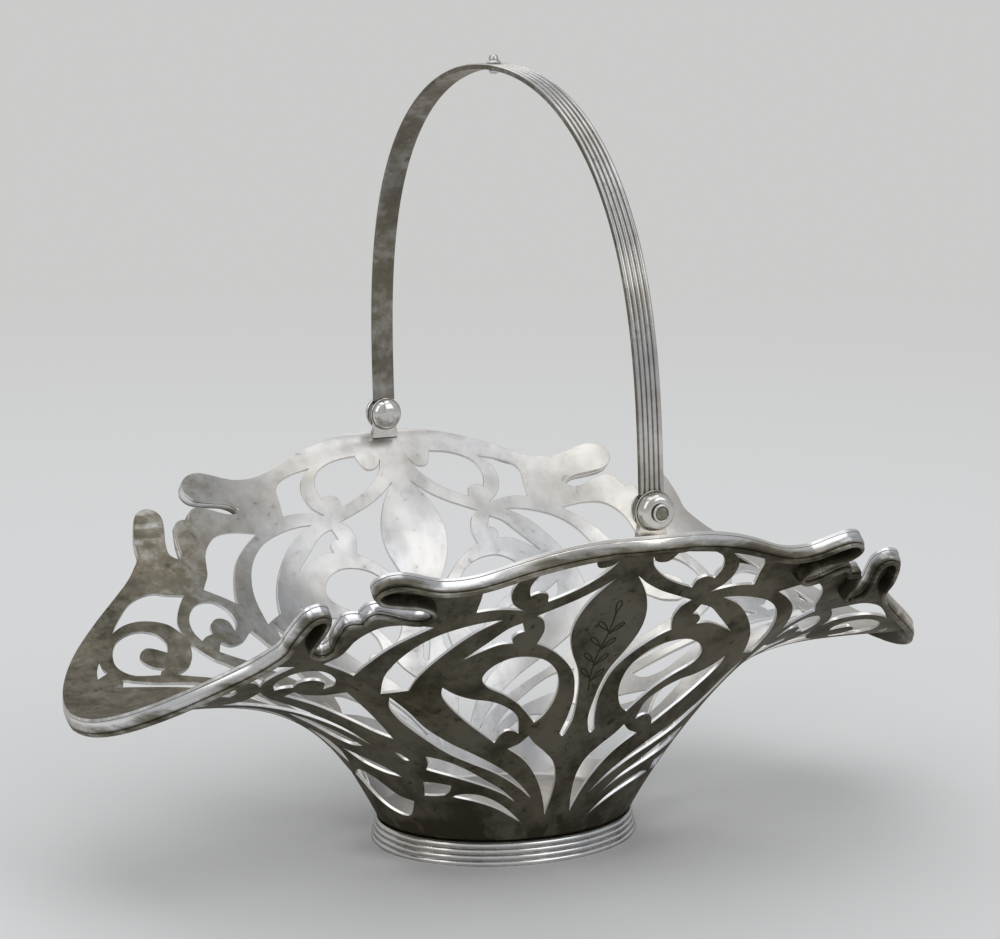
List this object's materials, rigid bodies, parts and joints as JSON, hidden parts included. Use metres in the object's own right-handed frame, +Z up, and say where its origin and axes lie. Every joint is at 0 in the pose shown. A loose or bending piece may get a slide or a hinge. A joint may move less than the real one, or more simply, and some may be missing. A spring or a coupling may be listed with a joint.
{
  "type": "swing-handled pierced basket",
  "caption": "Oval pierced silver basket with flared scalloped sides, a moulded rim, a reeded oval foot and a reeded swing handle riveted between domed hinge bosses.",
  "frame": {"origin": "On the table, under the middle of the oval foot.", "axes": "+X runs along the basket's length, +Y along the hinge axis to the back, +Z up. The front is -Y."},
  "size_m": [0.2616, 0.1936, 0.227],
  "materials": {
    "silver_sheet": "polished silver, toned by age, bright inside",
    "silver_moulding": "polished silver, worn bright",
    "silver_foot": "polished silver with dark grooves",
    "silver_handle": "polished silver with dark grooves",
    "silver_fittings": "polished silver"
  },
  "bodies": {
    "basket": {"pierced_bowl": "silver_sheet", "foot_ring": "silver_foot", "rim_border_front": "silver_moulding", "rim_border_back": "silver_moulding", "rim_border_left": "silver_moulding", "rim_border_right": "silver_moulding", "corner_border_back_right": "silver_moulding", "corner_border_back_left": "silver_moulding", "corner_border_front_right": "silver_moulding", "corner_border_front_left": "silver_moulding", "hinge_ear_front": "silver_fittings", "hinge_ear_back": "silver_fittings", "hinge_cap_front": "silver_fittings", "hinge_cap_back": "silver_fittings", "hinge_pin_front": "silver_fittings", "hinge_pin_back": "silver_fittings"},
    "handle": {"handle_band": "silver_handle", "handle_boss_front": "silver_fittings", "handle_boss_back": "silver_fittings", "handle_stud": "silver_fittings"}
  },
  "joints": [
    {"name": "handle_swing", "type": "hinge", "parent": "basket", "child": "handle", "pos_m": [0, 0, 0.11196], "axis": [0, 1, 0], "range_deg": [-92.3, 95.7]}
  ]
}
